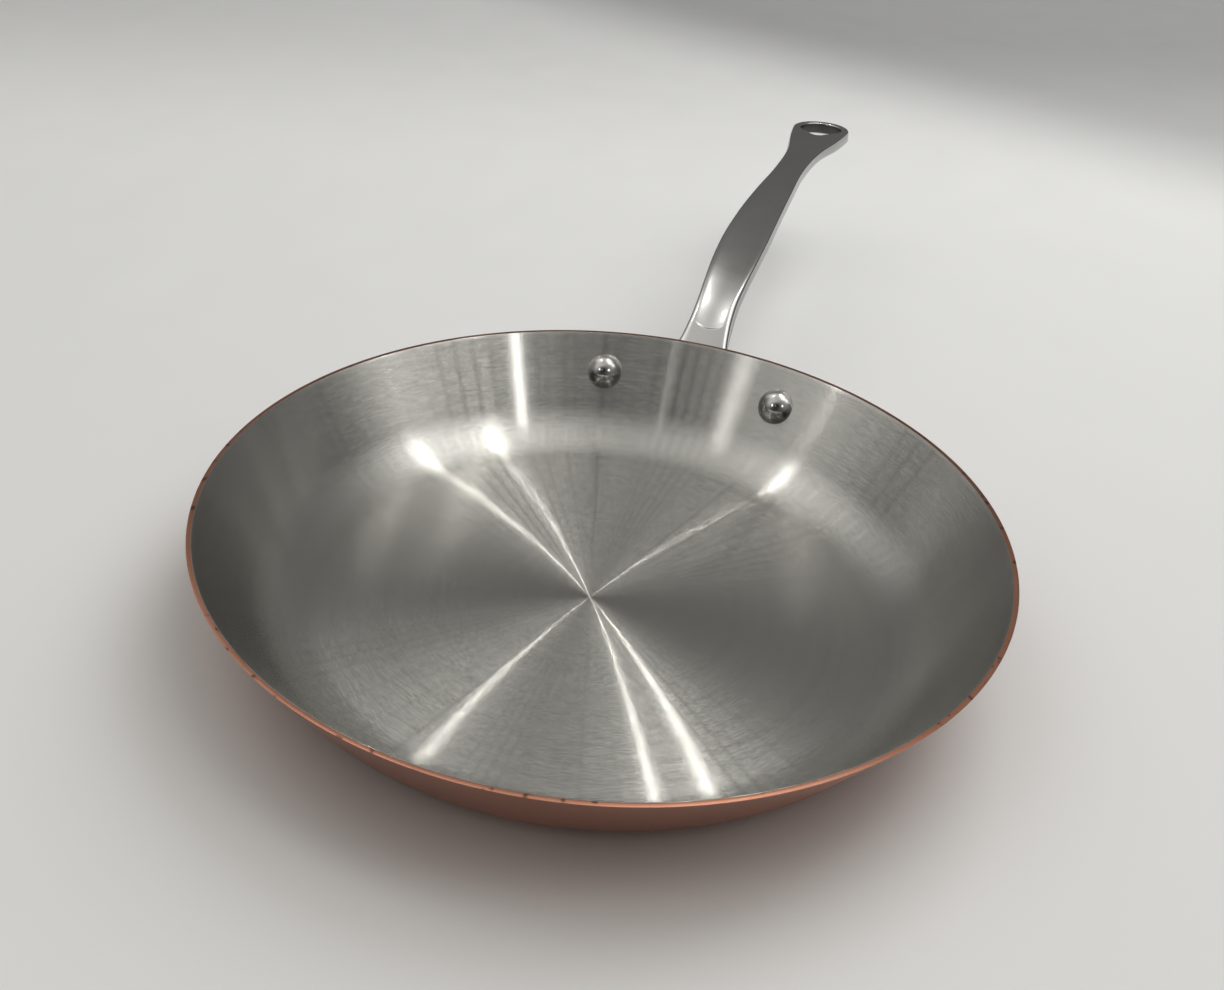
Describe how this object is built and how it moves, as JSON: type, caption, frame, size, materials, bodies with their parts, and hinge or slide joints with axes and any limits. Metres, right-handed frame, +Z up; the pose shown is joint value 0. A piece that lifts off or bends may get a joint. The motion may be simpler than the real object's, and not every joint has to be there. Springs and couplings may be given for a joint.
{
  "type": "frying pan",
  "caption": "Shallow round copper frying pan with a bonded steel lining, flared wall, domed rivets and a long cast steel handle that ends in a hanging eye.",
  "frame": {"origin": "centre of the underside of the flat base", "axes": "+Z up out of the open pan, +Y along the handle towards its eye"},
  "size_m": [0.26, 0.5061, 0.0616],
  "materials": {
    "copper": "satin",
    "brushed_lining": "circular brushed",
    "polished_casting": "polished",
    "polished_rivet": "polished"
  },
  "bodies": {
    "root": {"copper_body": "copper", "steel_lining": "brushed_lining", "handle": "polished_casting", "rivet_left": "polished_rivet", "rivet_right": "polished_rivet"}
  },
  "joints": []
}
